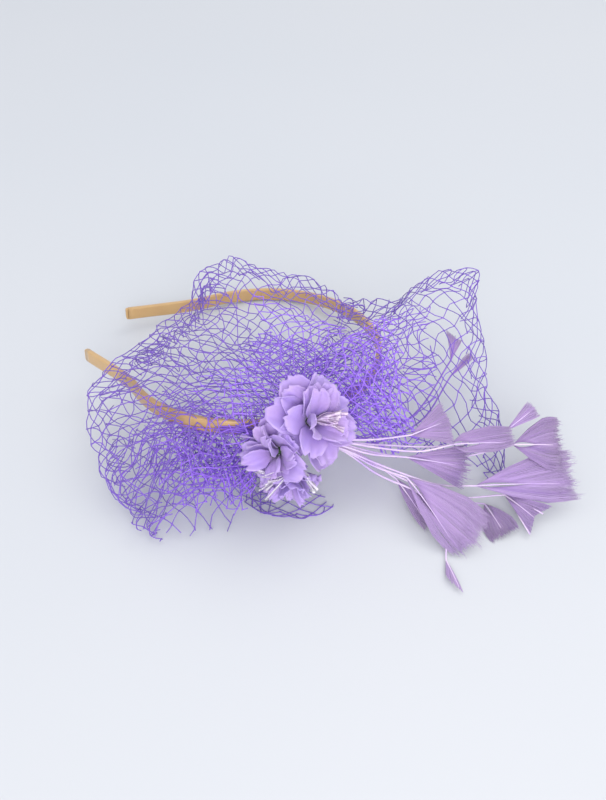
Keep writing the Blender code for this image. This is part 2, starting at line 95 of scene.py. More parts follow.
# Quill bundle and feathers: place in the bundle, bends, start and end of the vane, half width and
# outline, then how far the barbs fray past the cut end in millimetres, how deep the end is notched,
# where the shaft runs between the two edges and how much the end slants
BUNDLE_START = (4.5, -52.0, 29.5)
BUNDLE_END = (13.5, -53.0, 28.0)
BUNDLE_BORE = 3.3
VANE_FACING = Vector((0.0, -0.55, 0.83))
BARB_PITCH = 0.17
TRIANGLE = ((0.0, 0.0), (1.0, 1.0))
FAN = ((0.0, 0.0), (0.35, 0.55), (0.75, 1.0), (1.0, 0.95))
BLADE = ((0.0, 0.15), (0.2, 0.8), (0.7, 1.0), (1.0, 0.7))
FEATHERS = {
    "feather_top_fan": ((0.6, 2.4), [(30, -51, 28)], (44.8, -48.1, 27.5), (59.6, -45.6, 32), 9.5,
                        TRIANGLE, 0.8, -0.08, 0.1, 0.0),
    "feather_top_blade": ((-0.8, 2.3), [(32, -54.5, 26.5), (48, -54.5, 24.5)], (62, -52, 26),
                          (86, -50.5, 29.5), 5.5, BLADE, 1.2, 0.0, -0.5, 0.0),
    "feather_mid_fan": ((-2.1, 1.2), [(28, -56.5, 25)], (43.1, -54.6, 21), (66.5, -58, 19), 9.5,
                        TRIANGLE, 3.4, 0.0, 0.0, 0.0),
    "feather_far_fan": ((-0.8, 0.9), [(35, -54, 21.8), (62, -53, 18.4)], (88, -48.5, 22),
                        (107, -48.6, 23.5), 11.5, FAN, 2.6, 0.04, -0.1, 0.0),
    "feather_far_tip": ((0.6, 1.1), [(34, -51, 24.5), (60, -49.5, 22.5)], (85.2, -44.7, 27),
                        (96.3, -38.5, 33), 4.0, TRIANGLE, 0.8, -0.05, 0.0, 0.0),
    "feather_right_fan": ((-2.4, -0.1), [(32, -58.5, 20.5), (55, -62.5, 13.2)], (71.9, -62.5, 12),
                          (112.2, -58.3, 14.5), 11.0, FAN, 3.6, 0.05, -0.35, 0.0),
    "feather_fishtail": ((-0.2, -0.4), [(32, -56.8, 17.2), (60, -64, 7.2)], (84.6, -62.8, 6.5),
                         (97.7, -75.6, 6), 7.5, TRIANGLE, 0.4, 0.16, -0.15, 0.0),
    "feather_lower_fan": ((-1.6, -1.3), [(30, -59, 20)], (42.8, -62.2, 17), (67.4, -83.5, 7), 11.5,
                          FAN, 3.2, -0.1, -0.7, 0.0),
    "feather_lower_back": ((1.4, -1.6), [(29, -54, 17.5)], (39.1, -57.3, 10.5), (53.3, -74.3, 3), 5.0,
                           FAN, 1.5, 0.0, -0.4, 0.0),
    "feather_lower_dark": ((0.2, -1.7), [(31, -56.5, 12.5), (57, -62, 3.5)], (76.5, -64.5, 2.6),
                           (82.5, -79.5, 2.4), 7.0, FAN, 2.4, 0.0, 0.0, 0.0),
    "feather_low_leaf": ((-0.9, -2.4), [(31, -60, 16.5), (49, -66.5, 11), (58, -77, 4.5)],
                         (57.4, -92.4, 1.6), (59.2, -108.0, 1.6), 3.4, TRIANGLE, 0.6, 0.0, 0.75, 0.28),
    "feather_upright_leaf": ((2.0, 1.5), [(30, -46, 25), (50, -26, 19)], (67.7, 3.9, 22),
                             (71.2, 18.8, 26), 4.6, TRIANGLE, 0.8, 0.1, 0.0, 0.15),
    "feather_upright_blade": ((2.4, 0.1), [(30, -48, 22.5), (52, -28, 15.5)], (67.5, -1.9, 17.5),
                              (78.0, 9.3, 20), 1.8, FAN, 0.6, 0.0, 0.0, 0.0),
}
# How the tone changes towards the ends of the barbs, lighter unless listed. The darker ends of the mid
# fan and the lower dark fan are painted shade.
TIP_TONES = {"feather_mid_fan": -0.8, "feather_lower_dark": -0.2, "feather_fishtail": -0.1}
# How much darker each vane is made. On the lower back and lower dark fans, which lie low under the
# others, the darkening is painted shade.
DARK_AND_SHADED_FEATHERS = {"feather_lower_dark": 0.5, "feather_lower_back": 0.3, "feather_fishtail": 0.25,
                 "feather_top_blade": 0.15, "feather_top_fan": 0.15, "feather_mid_fan": 0.15,
                 "feather_far_fan": 0.25}
# Bare quill along the cut edges of a vane: how far across, and from which share of the length to which
BARE_EDGES = {"feather_fishtail": ((-1.0, 0.55, 1.0), (0.35, 0.72, 0.96))}

# Veil: the lobes of the CAD model, and the layers of net in each. A layer has its directions in
# degrees, its share of the lobe's reach, how far it lies below the lobe's surface, how much of it is
# folded back under its rim, both in millimetres, the turn of its net in degrees, its cell and how far
# it is pulled about. Pleats draw the net together round a direction.
THREAD = 0.22
KNOT = 0.33
CELL = (6.2, 7.4)
WARP = 6.0
GATHER_SHARE = 0.42
GATHER_REACH = 30.0
FOLD_BEND = 2.5
FOLD_DROP = 7.0
CRUMPLE = 3.0
RAGGED = 9.0
NET_FOOT = 5.0
NET_HALF_COUNT = 31  # threads on each side of the middle one
CLEARANCE = 0.0006  # metres between the net and what it lies on
CLEAR_REACH = 0.004
WANDER_OFFSETS = (Vector((3.1, 7.7, 1.9)), Vector((11.3, 2.9, 8.1)), Vector((5.7, 13.1, 4.3)))
VEIL_LOBES = {
    "veil_left": {"centre": (-3, -46), "start": (8, 44), "pleats": ((127, 0.8), (163, 0.6), (181, 0.7)),
                  "edge": (
        (74, 78, 38, 50), (86, 88, 40, 50), (97, 92, 42, 50), (107, 104, 45, 50), (114, 106, 42, 50),
        (124, 92, 33, 50), (142, 84, 38, 50), (155, 88, 34, 50), (166, 93, 28, 50), (177, 88, 22, 50),
        (185, 84, 16, 47), (194, 78, 11, 43), (202, 72, 9, 38))},
    "veil_right": {"centre": (-2, -46), "start": (9, 43), "pleats": ((10, 0.6), (33, 0.7), (58, 0.7)),
                   "edge": (
        (2, 90, 5, 18), (12, 92, 14, 24), (20, 90, 22, 30), (30, 98, 30, 36), (41, 110, 38, 42),
        (48, 128, 42, 42), (54, 118, 42, 42), (60, 94, 32, 42), (68, 84, 34, 42))},
    "veil_apron": {"centre": (-14, -55), "start": (13, 19), "pleats": ((184, 0.6), (205, 0.6)), "edge": (
        (166, 72, 12, 20), (178, 70, 6, 20), (190, 62, 3, 18), (202, 58, 1, 16), (216, 46, 1, 14),
        (228, 32, 1, 10))},
    "veil_front": {"centre": (-8, -43), "start": (8, 5), "pleats": (), "edge": (
        (238, 25, 1, 1), (255, 27, 1, 1), (275, 27, 1, 1), (300, 30, 1, 1))},
}
Layer = namedtuple("Layer", "span reach drop back turn cell warp", defaults=(CELL, WARP))
VEIL_LAYERS = {
    "veil_left": (
        Layer((66, 210), 1.0, 0, 14, 8, (7.0, 8.6)),
        Layer((112, 152), 0.97, 6, 8, -48, (12, 5.6)),
        Layer((146, 186), 0.94, 4, 0, -14, (12.5, 5.2)),
        Layer((180, 214), 0.95, 7, 6, 20, (10, 5.6)),
        Layer((60, 108), 0.62, -3, 0, -20),
        Layer((60, 214), 0.48, 4, 0, 65),
        Layer((60, 118), 0.52, 9, 0, 28, (5.0, 6.2)),
        Layer((60, 120), 0.40, 2, 0, 80, (4.6, 5.6)),
        Layer((158, 216), 0.66, 10, 0, -35),
        Layer((164, 216), 0.56, 15, 0, 12, (5.0, 6.2)),
        Layer((120, 216), 0.34, 1, 0, 50, (4.6, 5.6)),
    ),
    "veil_right": (
        Layer((-4, 76), 1.0, 0, 12, 4, (6.6, 8.2)),
        Layer((-6, 36), 0.72, 4, 0, 15, (11, 5)),
        Layer((30, 78), 0.72, 3, 0, 52, (11, 5)),
        Layer((-6, 78), 0.54, -3, 0, -24),
        Layer((-8, 78), 0.50, 7, 0, 60, (5.0, 6.2)),
        Layer((-8, 64), 0.50, -6, 0, 15, (4.8, 5.8)),
        Layer((-8, 50), 0.48, 10, 0, 80, (4.6, 5.6)),
        Layer((-8, 46), 0.42, 2, 0, 40, (4.4, 5.4)),
    ),
    "veil_apron": (
        Layer((164, 234), 1.0, 0, 0, 0, (7.4, 9)),
        Layer((160, 238), 0.84, -5, 0, 30),
        Layer((158, 246), 0.76, -9, 0, -30),
        Layer((158, 250), 0.66, -13, 0, 70, (5.0, 6.2)),
        Layer((170, 250), 0.70, -3, 0, 50, (5.0, 6.2)),
        Layer((164, 250), 0.56, -8, 0, 10, (4.6, 5.6)),
    ),
    "veil_front": (
        Layer((228, 316), 1.0, 0, 5, 3, (10.5, 5.4), 4.0),
        Layer((196, 262), 1.02, -1, 0, 40),
        Layer((200, 256), 0.96, -5, 0, 75),
    ),
}
CORDS = ((-17, -54, 33), (-27, -51, 35), (-41, -45, 31), (-56, -36, 27))


# ---------------------------------------------------------------- frames and paths


def along_frame(origin, axis, up=UP):
    """A frame in millimetres at this point, its Z along the axis and its Y as near to up as it gets."""
    z = Vector(axis).normalized()
    x = up.cross(z).normalized()
    turn = Matrix((x, z.cross(x), z)).transposed().to_4x4()
    return Matrix.Translation(origin) @ turn


def design_shift():
    """Where the design frame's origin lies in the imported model, in metres, found from one bead."""
    low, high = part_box("flower_right_eye")
    spec = BLOSSOMS["flower_right"]
    bead = Vector(spec["eye"]) + Vector(spec["axis"]).normalized() * EYE_HEIGHT
    return (low + high) / 2 - bead * MM


SHIFT = design_shift()
FLOOR_HEIGHT = -SHIFT.z / MM


def to_row(point):
    return point * MM + SHIFT


def smooth_path(points, steps):
    """Points on the Catmull-Rom curve through the given ones, evenly spaced in its parameter."""
    knots = [Vector(p) for p in points]
    knots = [2 * knots[0] - knots[1], *knots, 2 * knots[-1] - knots[-2]]
    spans = len(knots) - 3
    path = []
    for i in range(steps + 1):
        place = min(i * spans / steps, spans - 1e-9)
        k = int(place)
        t = place - k
        a, b, c, d = knots[k:k + 4]
        path.append(0.5 * (2 * b + (c - a) * t + (2 * a - 5 * b + 4 * c - d) * t**2
                           + (3 * b - a - 3 * c + d) * t**3))
    return path


def between(table, at):
    """Linear interpolation in a short table of (place, value, ...) rows."""
    for low, high in zip(table, table[1:]):
        if at <= high[0]:
            share = (at - low[0]) / (high[0] - low[0])
            return [a + (b - a) * share for a, b in zip(low[1:], high[1:])]
    return list(table[-1][1:])


def eased(table, at):
    """The first value of a short table at this place, with smooth steps between its rows."""
    for low, high in zip(table, table[1:]):
        if at <= high[0]:
            share = max(0.0, (at - low[0]) / (high[0] - low[0]))
            share = share * share * (3 - 2 * share)
            return low[1] + (high[1] - low[1]) * share
    return table[-1][1]


# ---------------------------------------------------------------- meshes


class Shape:
    """Vertices in millimetres, faces, and a tone from 0 to 1 for each vertex."""

    def __init__(self):
        self.verts = []
        self.faces = []
        self.tones = []

    def add_ring(self, points, tone):
        self.verts += points
        self.tones += [tone] * len(points)

    def loft(self, rings, tone=0.5, end_tone=None):
        """A closed body through rings of points that run anticlockwise seen from ahead."""
        first = len(self.verts)
        sides = len(rings[0])
        change = 0.0 if end_tone is None else end_tone - tone
        for i, ring in enumerate(rings):
            self.add_ring(ring, tone + change * (i / (len(rings) - 1))**2)
        for i in range(len(rings) - 1):
            for k in range(sides):
                a = first + i * sides + k
                b = first + i * sides + (k + 1) % sides
                self.faces.append((a, b, b + sides, a + sides))
        last = first + (len(rings) - 1) * sides
        self.faces.append(tuple(range(first + sides - 1, first - 1, -1)))
        self.faces.append(tuple(range(last, last + sides)))

    def tube(self, points, radii, sides=5, tone=0.5):
        """A round tube along the points, closed at both ends."""
        rings = []
        normal = None
        for i, (point, radius) in enumerate(zip(points, radii)):
            ahead = (points[min(i + 1, len(points) - 1)] - points[max(i - 1, 0)]).normalized()
            if normal is None:
                normal = ahead.orthogonal().normalized()
            normal = (normal - ahead * normal.dot(ahead)).normalized()
            binormal = ahead.cross(normal)
            rings.append([point + (normal * math.cos(turn) + binormal * math.sin(turn)) * radius
                          for turn in (math.tau * k / sides for k in range(sides))])
        self.loft(rings, tone)

    def strip(self, points, widths, face, thick, tone=0.5, end_tone=None):
        """A thin barb along the points: flat below and ridged above, facing this way."""
        rings = []
        for i, (point, width) in enumerate(zip(points, widths)):
            ahead = points[min(i + 1, len(points) - 1)] - points[max(i - 1, 0)]
            side = face.cross(ahead).normalized() * width / 2
            rings.append([point + side, point + face * thick, point - side])
        self.loft(rings, tone, end_tone)

    def grid(self, rows, tone=0.5, wrap=False):
        """An open surface through rows of points, which run round it if it wraps."""
        first = len(self.verts)
        columns = len(rows[0])
        for row in rows:
            self.add_ring(row, tone)
        for i in range(len(rows) - 1):
            for k in range(columns if wrap else columns - 1):
                a = first + i * columns + k
                b = first + i * columns + (k + 1) % columns
                self.faces.append((a, b, b + columns, a + columns))


def add_piece(name, shape, material, slot, *nodes):
    """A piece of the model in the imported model's frame, riding on the one body."""
    mesh = bpy.data.meshes.new(name)
    mesh.from_pydata([to_row(vert) for vert in shape.verts], [], shape.faces)
    tone = mesh.attributes.new("tone", "FLOAT", "POINT")
    tone.data.foreach_set("value", shape.tones)
    mesh.materials.append(material)
    mesh.shade_smooth()
    mesh.update()
    obj = bpy.data.objects.new(name, mesh)
    bpy.context.scene.collection.objects.link(obj)
    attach(obj, "root")
    if nodes:
        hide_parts(*nodes)
    return obj


def thicken(obj, thickness):
    solidify = obj.modifiers.new("thickness", "SOLIDIFY")
    solidify.thickness = thickness * MM
    solidify.offset = 0.0


# ---------------------------------------------------------------- materials


def new_material(name, colour, roughness, metallic=0.0, **sockets):
    """A Principled material. Values that are the same all over go on the shader's own sockets."""
    material = bpy.data.materials.new(name)
    material.use_nodes = True
    material.diffuse_color = (*colour, 1.0)
    shader = material.node_tree.nodes["Principled BSDF"]
    shader.inputs["Base Color"].default_value = (*colour, 1.0)
    shader.inputs["Roughness"].default_value = roughness
    shader.inputs["Metallic"].default_value = metallic
    for socket, value in sockets.items():
        shader.inputs[socket.replace("_", " ")].default_value = value
    return material


def add_node(material, kind, inputs=None, **settings):
    node = material.node_tree.nodes.new("ShaderNode" + kind)
    for setting, value in settings.items():
        setattr(node, setting, value)
    for socket, value in (inputs or {}).items():
        if hasattr(value, "links"):
            material.node_tree.links.new(value, node.inputs[socket])
        else:
            node.inputs[socket].default_value = value
    return node


def link(material, output, socket):
    shader = material.node_tree.nodes["Principled BSDF"]
    material.node_tree.links.new(output, shader.inputs[socket])


def object_coordinates(material):
    return add_node(material, "TexCoord").outputs["Object"]


def noise_factor(material, scale, detail=3.0):
    where = object_coordinates(material)
    texture = add_node(material, "TexNoise", {"Vector": where, "Scale": scale, "Detail": detail})
    return texture.outputs["Fac"]


def ramp(material, factor, stops):
    node = add_node(material, "ValToRGB", {"Fac": factor})
    elements = node.color_ramp.elements
    while len(elements) < len(stops):
        elements.new(0.5)
    for element, (place, colour) in zip(elements, stops):
        element.position = place
        element.color = (*colour, 1.0)
    return node.outputs["Color"]


def tone_factor(material):
    return add_node(material, "Attribute", attribute_name="tone").outputs["Fac"]


def mixed(material, factor, first, second):
    """Two colours, or outputs that give colours, mixed by a factor."""
    node = add_node(material, "Mix", data_type="RGBA")
    for socket, value in ((0, factor), (6, first), (7, second)):
        if hasattr(value, "links"):
            material.node_tree.links.new(value, node.inputs[socket])
        elif socket:
            node.inputs[socket].default_value = (*value, 1.0)
        else:
            node.inputs[socket].default_value = value
    return node.outputs[2]


def scaled(material, value, low, high):
    """A factor from 0 to 1 carried to the range from low to high."""
    node = add_node(material, "MapRange", {"Value": value, "To Min": low, "To Max": high})
    return node.outputs["Result"]


def bump(material, height, strength, distance):
    node = add_node(material, "Bump", {"Height": height, "Strength": strength, "Distance": distance})
    link(material, node.outputs["Normal"], "Normal")


def vary_roughness(material, scale, low, high):
    link(material, scaled(material, noise_factor(material, scale), low, high), "Roughness")


def weave_height(material, pitch):
    """A plain weave of this pitch in metres: two sets of waves that cross."""
    where = object_coordinates(material)
    waves = []
    for direction in ("X", "Y"):
        wave = add_node(material, "TexWave", {"Vector": where, "Scale": 0.31 / pitch, "Distortion": 1.5,
                                              "Detail": 1.0}, bands_direction=direction)
        waves.append(wave.outputs["Fac"])
    return add_node(material, "Math", {0: waves[0], 1: waves[1]}, operation="MULTIPLY").outputs[0]


def net_material():
    material = new_material("violet_net", (0.17, 0.07, 0.62), 0.42, Sheen_Weight=0.3)
    grey_violet, violet, bright = (0.13, 0.08, 0.34), (0.25, 0.10, 0.67), (0.40, 0.19, 0.92)
    along = ramp(material, tone_factor(material), ((0.0, grey_violet), (0.5, violet), (1.0, bright)))
    patches = scaled(material, noise_factor(material, 60.0), 0.0, 0.35)
    link(material, mixed(material, patches, along, (0.24, 0.10, 0.70)), "Base Color")
    vary_roughness(material, 900.0, 0.30, 0.55)
    bump(material, noise_factor(material, 2600.0), 0.4, 0.0001)
    return material


def petal_material():
    material = new_material("petal_fabric", (0.50, 0.42, 0.84), 0.72, Sheen_Weight=0.35,
                            Sheen_Roughness=0.4)
    # The dark colour at the foot of each petal is painted shade, where the petals crowd into the
    # blossom's middle.
    shaded_foot, middle, edge = (0.22, 0.13, 0.48), (0.40, 0.275, 0.72), (0.56, 0.42, 0.88)
    along = ramp(material, tone_factor(material), ((0.0, shaded_foot), (0.45, middle), (1.0, edge)))
    blush = scaled(material, noise_factor(material, 95.0), -0.2, 0.95)
    link(material, mixed(material, blush, along, (0.52, 0.34, 0.60)), "Base Color")
    vary_roughness(material, 300.0, 0.55, 0.8)
    bump(material, weave_height(material, 0.00035), 0.35, 0.00012)
    return material


def feather_material(name, shade):
    """Vane colour: mauve-lilac streaks from barb to barb, darker by this shade; on the lower back and
    lower dark fans this darkening is painted shade.
    """
    light = tuple(c * (1 - 0.55 * shade) for c in (0.44, 0.31, 0.61))
    middle = tuple(c * (1 - 0.60 * shade) for c in (0.335, 0.21, 0.515))
    dark = tuple(c * (1 - 0.60 * shade) for c in (0.20, 0.10, 0.44))
    material = new_material(name, middle, 0.62, Sheen_Weight=0.4, Sheen_Roughness=0.45)
    streaks = ramp(material, tone_factor(material), ((0.0, dark), (0.4, middle), (1.0, light)))
    pink = tuple(c * (1 - 0.5 * shade) for c in (0.47, 0.31, 0.53))
    blush = scaled(material, noise_factor(material, 45.0), 0.0, 0.8)
    link(material, mixed(material, blush, streaks, pink), "Base Color")
    vary_roughness(material, 400.0, 0.5, 0.75)
    return material


def quill_material():
    material = new_material("quill", (0.62, 0.46, 0.74), 0.26, Coat_Weight=0.35)
    patches = ramp(material, noise_factor(material, 70.0), ((0.3, (0.55, 0.38, 0.72)),
                                                            (0.7, (0.86, 0.70, 0.88))))
    link(material, patches, "Base Color")
    vary_roughness(material, 350.0, 0.18, 0.4)
    bump(material, noise_factor(material, 900.0), 0.25, 0.0001)
    return material


def satin_material():
    material = new_material("ribbon_satin", (0.52, 0.34, 0.15), 0.38, Sheen_Weight=0.25,
                            Anisotropic=0.5)
    gold, tan, shade = (0.66, 0.43, 0.19), (0.58, 0.36, 0.15), (0.50, 0.30, 0.12)
    patches = ramp(material, noise_factor(material, 40.0), ((0.2, shade), (0.5, tan), (0.8, gold)))
    link(material, patches, "Base Color")
    vary_roughness(material, 500.0, 0.3, 0.5)
    bump(material, weave_height(material, 0.00028), 0.3, 0.00008)
    return material


def felt_material():
    material = new_material("felt", (0.42, 0.36, 0.62), 0.95, Sheen_Weight=0.5)
    patches = ramp(material, noise_factor(material, 420.0, 6.0), ((0.3, (0.32, 0.26, 0.52)),
                                                                  (0.7, (0.50, 0.43, 0.70))))
    link(material, patches, "Base Color")
    vary_roughness(material, 1500.0, 0.85, 1.0)
    bump(material, noise_factor(material, 1800.0, 6.0), 0.7, 0.0003)
    return material


def plain_material(name, dark, light, roughness, scale, metallic=0.0):
    """Moulded, drawn or twisted stuff: two tones in patches and a fine grain."""
    material = new_material(name, light, roughness, metallic)
    patches = ramp(material, noise_factor(material, scale), ((0.3, dark), (0.7, light)))
    link(material, patches, "Base Color")
    vary_roughness(material, scale * 4, roughness * 0.8, roughness * 1.2)
    bump(material, noise_factor(material, scale * 8), 0.35, 0.0001)
    return material


# ---------------------------------------------------------------- headband


def band_point(angle):
    """A point of the band's centre line in its own plane."""
    start = FLARE_START * BAND_HALF_ANGLE
    share = max(0.0, (abs(angle) - start) / (BAND_HALF_ANGLE - start))
    outward = Vector((BAND_HALF_WIDTH * math.cos(angle), BAND_HALF_DEPTH * math.sin(angle))).normalized()
    centre = Vector((BAND_HALF_DEPTH * math.cos(angle), BAND_HALF_WIDTH * math.sin(angle)))
    return centre + outward * BAND_FLARE * share**2


def band_frame(angle):
    """(centre, outward, along) of the band at this angle, in its own plane."""
    step = 0.002
    along = (band_point(angle + step) - band_point(angle - step)).normalized()
    return band_point(angle), Vector((along.y, -along.x)), along


RING = (Matrix.Translation(BAND_CENTRE) @ Matrix.Rotation(-BAND_TILT, 4, "X")
        @ Matrix.Rotation(BAND_YAW, 4, "Z"))


def ribbon_profile():
    """(outward, up) round the band: a flat oblong with soft corners."""
    corner = 0.55
    points = []
    for out, up, start in ((-1, 1, 180), (1, 1, 90), (1, -1, 0), (-1, -1, -90)):
        for i in range(4):
            turn = math.radians(start - 30 * i)
            points.append((out * (BAND_HALF_THICK - corner) + corner * math.cos(turn),
                           up * (BAND_HALF_HEIGHT - corner) + corner * math.sin(turn)))
    return points


def ribbon_rows():
    rows = []
    profile = ribbon_profile()
    for i in range(RIBBON_STEPS + 1):
        angle = BAND_HALF_ANGLE * (2 * i / RIBBON_STEPS - 1)
        centre, outward, along = band_frame(angle)
        wave = noise.noise((i * 0.21, 3.1, 0.0)) * 0.10
        row = []
        for out, up in profile:
            crease = noise.noise((i * 0.5, up * 0.9, out * 2.0)) * 0.07
            flat = centre + outward * (out + math.copysign(crease, out))
            row.append(RING @ Vector((*flat, up * (1 + wave / 3))))
        rows.append(row)
    return rows


def build_ribbon(material):
    shape = Shape()
    shape.grid(ribbon_rows(), wrap=True)
    ribbon = add_piece("ribbon_cover", shape, material, "ribbon_satin", "ribbon_wrap")
    thicken(ribbon, RIBBON_THICK)
    band_length() * MM
    for name, side in (("near", -1), ("far", 1)):
        build_tip(name, side, material)


def band_length():
    steps = [band_point(BAND_HALF_ANGLE * (2 * i / RIBBON_STEPS - 1)) for i in range(RIBBON_STEPS + 1)]
    return sum((b - a).length for a, b in zip(steps, steps[1:]))


def build_tip(name, side, material):
    """The ribbon's folded end: a soft cap over the end of the band."""
    centre, outward, along = band_frame(side * BAND_HALF_ANGLE)
    rings = []
    sections = ((0.12, 1.0), (0.75, 1.0), (1.10, 0.93), (TIP_REACH, 0.72))
    for reach, scale in sections:
        ring = []
        for i in range(20):
            turn = side * math.tau * i / 20
            out = math.copysign(abs(math.cos(turn)) ** 0.35, math.cos(turn)) * BAND_HALF_THICK * scale
            up = math.copysign(abs(math.sin(turn)) ** 0.35, math.sin(turn)) * BAND_HALF_HEIGHT * scale
            flat = centre + along * side * reach + outward * out
            ring.append(RING @ Vector((*flat, up)))
        rings.append(ring)
    shape = Shape()
    shape.loft(rings)
    add_piece(f"ribbon_fold_{name}", shape, material, "ribbon_satin", f"ribbon_tip_{name}")


# ---------------------------------------------------------------- felt and gather


def pad_matrix():
    centre, outward, along = band_frame(PAD_ANGLE)
    turn = Matrix(((*along, 0), (0, 0, 1), (*outward, 0))).transposed().to_4x4()
    return RING @ Matrix.Translation((*centre, 0)) @ turn


PAD = pad_matrix()


def felt_disc(spec, seed):
    """Rings from the back round the soft edge to the front of an oval of felt."""
    half_length, half_height = spec["half"]
    half = spec["thick"] / 2
    profile = [(0.25, -half), (0.7, -half), (0.95, -half), (1.0, -half * 0.5), (1.0, half * 0.5),
               (0.95, half), (0.7, half), (0.25, half)]
    rings = []
    for share, height in profile:
        ring = []
        for i in range(48):
            turn = -math.tau * i / 48
            ragged = 1 + 0.012 * noise.noise((3 * math.cos(turn), 3 * math.sin(turn), seed))
            lift = 0.12 * noise.noise((share * 4 * math.cos(turn), share * 4 * math.sin(turn), seed + 5))
            ring.append(PAD @ Vector((half_length * share * ragged * math.cos(turn),
                                      half_height * share * ragged * math.sin(turn),
                                      spec["height"] + height + lift)))
        rings.append(ring)
    return rings


def build_felt(felt, thread):
    for node, spec, seed in (("felt_base", BASE, 1.0), ("felt_cover", COVER, 2.0)):
        shape = Shape()
        shape.loft([list(reversed(ring)) for ring in felt_disc(spec, seed)])
        disc = add_piece(f"{node}_disc", shape, felt, "felt", node)
        long, high = spec["half"]
    build_stitches(thread)


def build_stitches(thread):
    """Whip stitches that hold the cover to the band, over its edge."""
    shape = Shape()
    half_length, half_height = COVER["half"]
    back = COVER["height"] - COVER["thick"] / 2 - 0.12
    for i in range(26):
        turn = math.tau * (i + 0.5) / 26
        along = Vector((math.cos(turn), math.sin(turn), 0))
        lean = 0.09
        across = Vector((math.cos(turn + lean), math.sin(turn + lean), 0))
        scale = Vector((half_length, half_height, 1))
        path = [Vector((p.x * scale.x * r, p.y * scale.y * r, z)) for p, r, z in (
            (along, 0.82, back + 0.2), (along, 0.86, back - 0.08), (along, 0.95, back - 0.1),
            (across, 1.02, back + 0.2), (across, 1.03, back + 1.1), (across, 0.98, back + 1.5))]
        shape.tube([PAD @ p for p in smooth_path(path, 10)], [0.14] * 11, tone=0.6)
    add_piece("cover_stitches", shape, thread, "binding_tape")


def build_gather(net):
    """The bunched end of the net, with thread wound round its neck."""
    rng = random.Random(11)
    shape = Shape()
    centre = Vector(GATHER_AT)
    for i in range(60):
        turn = rng.uniform(0, math.tau)
        radius = rng.uniform(0.3, 2.6)
        foot = centre + Vector((radius * 0.8 * math.cos(turn), radius * 0.8 * math.sin(turn), -1.4))
        neck = centre + Vector((radius * 0.55 * math.cos(turn), radius * 0.55 * math.sin(turn), 0.2))
        swung = turn + 0.3
        crown = centre + Vector((radius * 1.2 * math.cos(swung), radius * 1.2 * math.sin(swung),
                                 1.5 + rng.uniform(0, 0.8)))
        path = smooth_path([PAD @ foot, PAD @ neck, PAD @ crown], 6)
        shape.tube(path, [THREAD] * len(path), tone=rng.random())
    coil = []
    for i in range(4 * 16):
        turn = math.tau * i / 16
        place = Vector((1.75 * math.cos(turn), 1.75 * math.sin(turn), -0.3 + 0.012 * i))
        coil.append(PAD @ (centre + place))
    shape.tube(coil, [0.16] * len(coil), tone=0.9)
    add_piece("net_tuft", shape, net, "veil_net", "veil_gather")


# ---------------------------------------------------------------- blossoms


PETAL_WIDTH = ((0.0, 0.14), (0.22, 0.50), (0.55, 0.92), (0.78, 1.0), (1.0, 0.80))


def blossom_frames():
    return {name: along_frame(spec["eye"], spec["axis"]) for name, spec in BLOSSOMS.items()}


def blossom_walls(name):
    """Planes midway to the other blossoms, as (normal, distance) in this blossom's frame."""
    inverse = along_frame(BLOSSOMS[name]["eye"], BLOSSOMS[name]["axis"]).inverted()
    walls = []
    for other, spec in BLOSSOMS.items():
        if other != name:
            towards = inverse @ Vector(spec["eye"])
            walls.append((towards.normalized(), towards.length / 2))
    return walls


def petal_place(length, first, last, share):
    """(radius, height, slope) this share of the way along a petal whose slope changes evenly."""
    slope = first + (last - first) * share
    bend = length / (last - first)
    return (PETAL_HOLE + bend * (math.sin(slope) - math.sin(first)),
            bend * (math.cos(first) - math.cos(slope)), slope)


def ragged_end(x, seed, cut):
    """How far out a petal goes at this place across it: rounded, with a notch and small teeth."""
    notch_at, notch = cut
    end = 1 - 0.15 * abs(x)**2.4 - notch * math.exp(-((x - notch_at) / 0.14)**2)
    return end - 0.09 * abs(noise.noise((x * 3.1, seed * 1.7, 0.0))) - 0.03 * abs(math.sin(7 * x + seed))


def petal_rows(length, half_width, height, slope, angle, seed, walls):
    """One petal: narrow at its foot, broad and ragged at its end, hollowed, curled and twisted."""
    rng = random.Random(seed)
    notch = (rng.uniform(-0.5, 0.5), rng.uniform(0.04, 0.14))
    hollow = rng.uniform(0.10, 0.42)
    twist = rng.uniform(-0.6, 0.6)
    ripple = rng.uniform(0.4, 1.0)
    phase = rng.uniform(0, math.tau)
    first, last = slope + PETAL_BEND, slope - PETAL_BEND * rng.uniform(0.5, 1.5)
    rows = []
    for i in range(PETAL_ROWS + 1):
        t = i / PETAL_ROWS
        row = []
        for j in range(PETAL_COLUMNS + 1):
            x = 2 * j / PETAL_COLUMNS - 1
            radius, rise, tilt = petal_place(length, first, last, t * ragged_end(x, seed, notch))
            width = half_width * eased(PETAL_WIDTH, t)
            lift = hollow * x * x * width + ripple * math.sin(2.4 * math.pi * x + phase) * t**2.5
            lift += 0.8 * noise.noise((x * 1.6, t * 2.8, seed * 0.77)) * t
            lift += (0.22 * noise.noise((x * 5.0, t * 3.5, seed * 1.3))
                     - 0.25 * math.exp(-(x / 0.10)**2) * t)
            turn = twist * t
            side = x * width * math.cos(turn) - lift * math.sin(turn)
            lift = x * width * math.sin(turn) + lift * math.cos(turn)
            radius -= lift * math.sin(tilt)
            point = Vector((radius * math.cos(angle) - side * math.sin(angle),
                            radius * math.sin(angle) + side * math.cos(angle),
                            height + rise + lift * math.cos(tilt)))
            row.append(pressed(point, walls, x, t, seed))
        rows.append(row)
    return rows


def pressed(point, walls, x, t, seed):
    """The point, pushed back and up where it would reach into a neighbouring blossom."""
    for normal, far in walls:
        excess = normal.dot(point) - far - 1.6 + 1.2 * noise.noise((x, t * 2, seed))
        if excess > 0:
            point -= normal * excess * 0.92
            point.z += excess * 0.45
    return point


